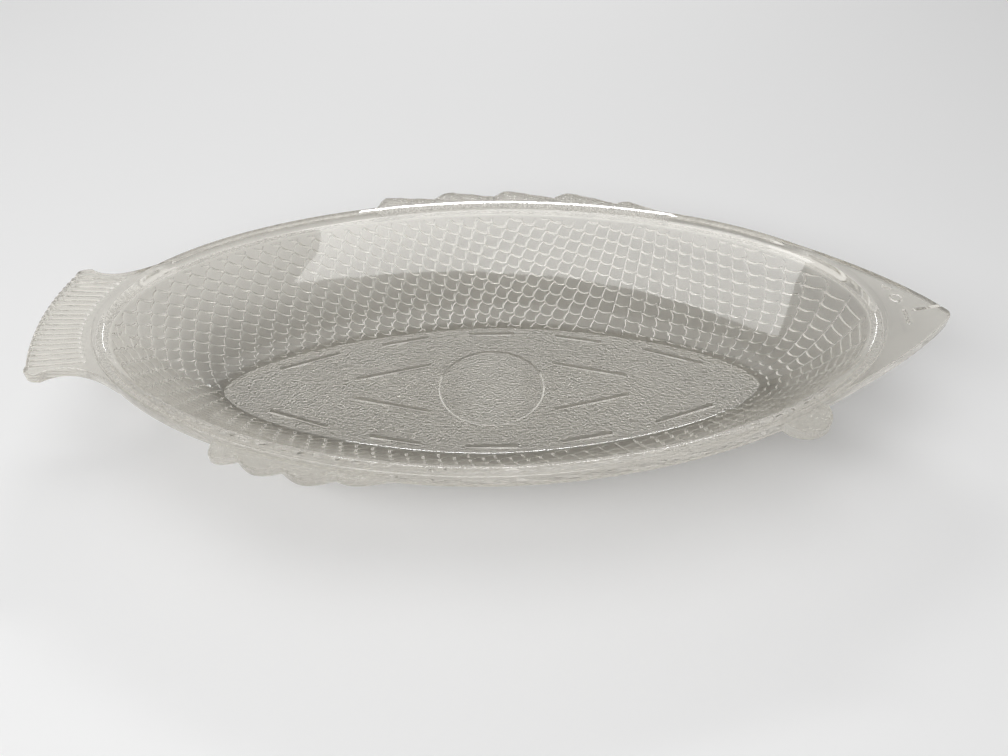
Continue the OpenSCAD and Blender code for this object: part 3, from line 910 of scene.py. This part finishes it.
class PLATTER_OT_fins(bpy.types.Operator):
    """Lobed dorsal, anal and pectoral fins outside the rim"""
    bl_idname = "platter.fins"
    bl_label = "Fins"

    SINK = 3 * MM  # overlap with the rim
    DORSAL, ANAL, PECTORAL = (111, 57), (231, 258), (312, 321)  # degrees round the bowl, tail side first
    # Lobes, height of the notches between them, place of a lobe's peak or growth of the lobes, and the
    # part of the fin over which it dies away to the snout
    DORSAL_LOBES, DORSAL_NOTCH, DORSAL_PEAK, DORSAL_END = 5, 0.45, 0.25, 0.3
    ANAL_LOBES, ANAL_NOTCH, ANAL_GROWTH, ANAL_END = 4, 0.5, 1.2, 0.5
    START = 0.05  # part of the fin over which it builds up from the tail
    POINTS, ROOT_EVERY = 91, 3  # points along the edge, and the step between those that the root takes
    RAYS, RAY_W, RAY_H = 15, 0.9 * MM, 0.4 * MM
    RAY_CROWN, RAY_TAPER = 3, 0.8
    SWEEP = 0.13  # part of the fin over which a ray sweeps back to the tail

    def execute(self, context):
        fish = context.scene.platter_fish
        u = np.linspace(0, 1, self.POINTS)
        lobe = u * self.DORSAL_LOBES % 1
        saw = np.where(
            lobe < self.DORSAL_PEAK, np.sin(lobe / self.DORSAL_PEAK * math.pi / 2),
            1 - (lobe - self.DORSAL_PEAK) / (1 - self.DORSAL_PEAK))
        dorsal = self.ends(u, self.DORSAL_END) * (self.DORSAL_NOTCH + (1 - self.DORSAL_NOTCH) * saw)
        round_lobe = np.sin(math.pi * (u ** (1 / self.ANAL_GROWTH) * self.ANAL_LOBES % 1))
        anal = self.ends(u, self.ANAL_END) * (self.ANAL_NOTCH + (1 - self.ANAL_NOTCH) * round_lobe)
        pectoral = np.sqrt(np.sin(math.pi * u))
        self.fin(context, "dorsal_fin", self.DORSAL, u, fish.dorsal_h * dorsal)
        self.rays(context, u, fish.dorsal_h * dorsal)
        self.fin(context, "anal_fin", self.ANAL, u, fish.anal_h * anal)
        self.fin(context, "pectoral_fin", self.PECTORAL, u, fish.pectoral_h * pectoral)
        return {"FINISHED"}

    def ends(self, u, run):
        """Build-up of a fin from the rim at both of its ends."""
        return np.sin(np.clip(u / self.START, 0, 1) * math.pi / 2) * np.sin(
            np.clip((1 - u) / run, 0, 1) * math.pi / 2)

    def fin(self, context, name, degrees, u, reach):
        """Plate of one fin, stippled all over."""
        sizes, fish = context.scene.platter_bowl, context.scene.platter_fish
        bowl = Bowl(sizes)
        first, last = np.radians(degrees)
        a = first + (last - first) * u
        top = top_of(name)
        edge = bowl.rim_edge(a) + reach[:, None] * bowl.rim_normal(a)
        inside = bowl.rim_at(a[::-self.ROOT_EVERY], sizes.rim_w - self.SINK)
        zone(name, prism(np.concatenate([edge[1:-1], inside]), top - fish.fin_t, top, fish.edge, STIPPLED))

    def rays(self, context, u, reach):
        """Clear rays on the dorsal fin, left out where it is too narrow for them."""
        bowl, fish = Bowl(context.scene.platter_bowl), context.scene.platter_fish
        first, last = np.radians(self.DORSAL)
        top = top_of("dorsal_fin")
        for part in (1 - self.SWEEP) * (np.arange(self.RAYS) + 0.5) / self.RAYS:
            out = np.interp(part, u, reach) - fish.edge
            if out < 2 * self.RAY_W:
                continue
            root, tip = (np.array(first + (last - first) * place) for place in (part + self.SWEEP, part))
            start = bowl.rim_edge(root) + bowl.rim_normal(root) * self.RAY_W
            stop = bowl.rim_edge(tip) + bowl.rim_normal(tip) * out
            zone("dorsal_fin_ray", bar(
                start, stop, self.RAY_W / 2, top, top + self.RAY_H, self.RAY_CROWN, self.RAY_TAPER))


class PLATTER_OT_press(bpy.types.Operator):
    """Press the moulded zones into one closed skin of glass"""
    bl_idname = "platter.press"
    bl_label = "Press the glass"

    SHARP = math.radians(28)  # angle between two faces from which their edge stays sharp
    MERGE = 0.002 * MM  # within which points become one

    def execute(self, context):
        body = bpy.data.objects["bowl"]
        zones, cuts = bpy.data.collections[ZONES], bpy.data.collections[CUTS]
        zones.objects.unlink(body)
        context.scene.collection.objects.link(body)
        for name, operation, others in (("join", "UNION", zones), ("groove", "DIFFERENCE", cuts)):
            step = body.modifiers.new(name, "BOOLEAN")
            step.operation = operation
            step.operand_type = "COLLECTION"
            step.collection = others
            step.solver = "MANIFOLD"
        context.view_layer.update()
        shaped = body.evaluated_get(context.evaluated_depsgraph_get())
        mesh = bpy.data.meshes.new_from_object(shaped)
        for done in (zones, cuts):
            for o in list(done.objects):
                bpy.data.objects.remove(o)
            bpy.data.collections.remove(done)
        bpy.data.objects.remove(body)
        mesh.name = "platter"
        self.polish(mesh)
        platter = bpy.data.objects.new("platter", mesh)
        context.scene.collection.objects.link(platter)
        even = platter.modifiers.new("even_normals", "WEIGHTED_NORMAL")
        even.keep_sharp = True
        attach(platter, "root")
        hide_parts(*frame["nodes"])
        return {"FINISHED"}

    def polish(self, mesh):
        """Closed skin, with smooth shading between faces that meet at a flat angle."""
        bm = bmesh.new()
        bm.from_mesh(mesh)
        bmesh.ops.remove_doubles(bm, verts=bm.verts, dist=self.MERGE)
        open_edges = sum(1 for e in bm.edges if not e.is_manifold)
        if open_edges:
            raise RuntimeError(f"the pressed glass has {open_edges} open edges")
        for face in bm.faces:
            face.smooth = True
        for e in bm.edges:
            e.smooth = e.calc_face_angle(0.0) < self.SHARP
        bm.to_mesh(mesh)
        bm.free()


class PLATTER_OT_stage(bpy.types.Operator):
    """Pale floor, soft light and the camera"""
    bl_idname = "platter.stage"
    bl_label = "Stage"

    SIZE = 6.0  # of the floor
    PAPER_ROUGHNESS = 0.9
    CLEARANCE = 0.1 * MM  # under the foot ribs, so that glass and floor share no face
    # Camera, matched to the photograph
    VIEW_FROM = Vector((6.83, -320.98, 318.4)) * MM
    YAW, ELEVATION, ROLL = math.radians(0.08), math.radians(43.93), math.radians(-0.84)
    LENS, SENSOR = 31.6, 36.0
    # Light of the room
    AMBIENT = 0.2  # share of it that falls on matt surfaces, while glass shows all of it
    WALLS = 0.5  # light of the walls at eye level, where a white ceiling has 1
    CEILING = 0.5  # sine of the angle above eye level from which the room is white
    BOUNCES = 32  # light goes to and fro inside glass many times
    # Lamps: place and size in metres, power in watts
    LAMPS = {
        "window": ((-0.5, -1.08, 1.1), (2.4, 0.8), 24),
        "ceiling": ((-0.1, 0.35, 1.5), (1.2, 1.2), 4),
        "strip": ((0.03, 1.1, 0.7), (0.55, 0.08), 2.6)}

    def execute(self, context):
        scene = context.scene
        look = scene.platter_look
        scene.view_settings.view_transform = "Standard"
        scene.cycles.max_bounces = self.BOUNCES
        scene.cycles.transmission_bounces = self.BOUNCES
        scene.cycles.glossy_bounces = self.BOUNCES
        self.floor(scene, look)
        self.world(scene)
        for name, (place, size, power) in self.LAMPS.items():
            self.lamp(scene, name, place, size, power)
        self.camera(scene)
        return {"FINISHED"}

    def floor(self, scene, look):
        """Sheet of paper under the platter."""
        bm = bmesh.new()
        bmesh.ops.create_grid(bm, x_segments=1, y_segments=1, size=self.SIZE / 2)
        mesh = bpy.data.meshes.new("stage_floor")
        bm.to_mesh(mesh)
        bm.free()
        mesh.materials.append(self.paper(look))
        made = bpy.data.objects.new("stage_floor", mesh)
        made.location.z = -self.CLEARANCE
        scene.collection.objects.link(made)

    def paper(self, look):
        """Matt white paper. It scatters light evenly, so that shadows on it are soft and plain."""
        made = bpy.data.materials.new("matt_white_paper")
        made.use_nodes = True
        tree = made.node_tree
        tree.nodes.clear()
        matt = add_node(tree, "ShaderNodeBsdfPrincipled", {
            "Base Color": linear(look.stage), "Roughness": self.PAPER_ROUGHNESS})
        add_node(tree, "ShaderNodeOutputMaterial", {"Surface": matt.outputs["BSDF"]})
        return made

    def world(self, scene):
        """Room that glass shows in full, with a white ceiling over darker walls."""
        world = bpy.data.worlds.new("studio")
        scene.world = world
        world.use_nodes = True
        tree = world.node_tree
        tree.nodes.clear()
        path = add_node(tree, "ShaderNodeLightPath")
        seen = add_node(tree, "ShaderNodeMath", {
            0: path.outputs["Is Camera Ray"], 1: path.outputs["Is Glossy Ray"]}, operation="MAXIMUM")
        seen = add_node(tree, "ShaderNodeMath", {
            0: seen.outputs[0], 1: path.outputs["Is Transmission Ray"]}, operation="MAXIMUM")
        seen = add_node(tree, "ShaderNodeMath", {
            0: seen.outputs[0], 1: path.outputs["Diffuse Depth"]}, operation="SUBTRACT")
        level = add_node(tree, "ShaderNodeMapRange", {
            "Value": seen.outputs[0], "To Min": self.AMBIENT, "To Max": 1.0})
        way = add_node(tree, "ShaderNodeTexCoord").outputs["Generated"]
        height = add_node(tree, "ShaderNodeSeparateXYZ", {"Vector": way}).outputs["Z"]
        room = add_node(tree, "ShaderNodeMapRange", {
            "Value": height, "From Max": self.CEILING, "To Min": self.WALLS, "To Max": 1.0})
        both = add_node(tree, "ShaderNodeMath", {
            0: level.outputs["Result"], 1: room.outputs["Result"]}, operation="MULTIPLY")
        sky = add_node(tree, "ShaderNodeBackground", {
            "Color": (1.0, 1.0, 1.0, 1.0), "Strength": both.outputs[0]})
        add_node(tree, "ShaderNodeOutputWorld", {"Surface": sky.outputs["Background"]})

    def lamp(self, scene, name, place, size, power):
        """Lamp that faces the platter and isn't seen through the glass."""
        light = bpy.data.lights.new(name, "AREA")
        light.shape = "RECTANGLE"
        light.size, light.size_y = size
        light.energy = power
        made = bpy.data.objects.new(name, light)
        made.location = place
        made.rotation_euler = Vector(place).to_track_quat("Z", "Y").to_euler()
        made.visible_transmission = False
        scene.collection.objects.link(made)

    def camera(self, scene):
        """Camera that looks down at the platter from its belly side."""
        data = bpy.data.cameras.new("camera")
        data.lens = self.LENS
        data.sensor_width = self.SENSOR
        made = bpy.data.objects.new("camera", data)
        scene.collection.objects.link(made)
        yaw, lift = self.YAW, self.ELEVATION
        back = Vector((math.sin(yaw) * math.cos(lift), -math.cos(yaw) * math.cos(lift), math.sin(lift)))
        right = Vector((math.cos(yaw), math.sin(yaw), 0))
        up = back.cross(right)
        across = math.cos(self.ROLL) * right + math.sin(self.ROLL) * up
        above = math.cos(self.ROLL) * up - math.sin(self.ROLL) * right
        made.matrix_world = Matrix((across, above, back)).transposed().to_4x4()
        made.location = self.VIEW_FROM
        scene.camera = made


class PLATTER_PT_panel(bpy.types.Panel):
    """The platter's steps in order"""
    bl_label = "Pressed glass platter"
    bl_idname = "PLATTER_PT_panel"
    bl_space_type = "VIEW_3D"
    bl_region_type = "UI"
    bl_category = "Platter"

    def draw(self, context):
        for step in STEPS:
            self.layout.operator(step.bl_idname)
        for group in GROUPS:
            values = getattr(context.scene, group)
            box = self.layout.box()
            for name in values.__annotations__:
                box.prop(values, name)


STEPS = (
    PLATTER_OT_bowl, PLATTER_OT_underside, PLATTER_OT_head, PLATTER_OT_tail, PLATTER_OT_fins,
    PLATTER_OT_press, PLATTER_OT_stage)
GROUPS = {
    "platter_bowl": BowlSizes, "platter_scales": ScaleSizes,
    "platter_fish": FishSizes, "platter_look": PlatterLook}


def register():
    """Registers the classes and the platter's settings."""
    for kind in (*GROUPS.values(), *STEPS, PLATTER_PT_panel):
        bpy.utils.register_class(kind)
    for name, kind in GROUPS.items():
        setattr(bpy.types.Scene, name, bpy.props.PointerProperty(type=kind))


def unregister():
    """Takes the settings and the classes away again."""
    for name in GROUPS:
        delattr(bpy.types.Scene, name)
    for kind in reversed((*GROUPS.values(), *STEPS, PLATTER_PT_panel)):
        bpy.utils.unregister_class(kind)


def main():
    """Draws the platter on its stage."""
    register()
    bpy.ops.platter.bowl()
    bpy.ops.platter.underside()
    bpy.ops.platter.head()
    bpy.ops.platter.tail()
    bpy.ops.platter.fins()
    bpy.ops.platter.press()
    bpy.ops.platter.stage()


if __name__ == "__main__":
    main()
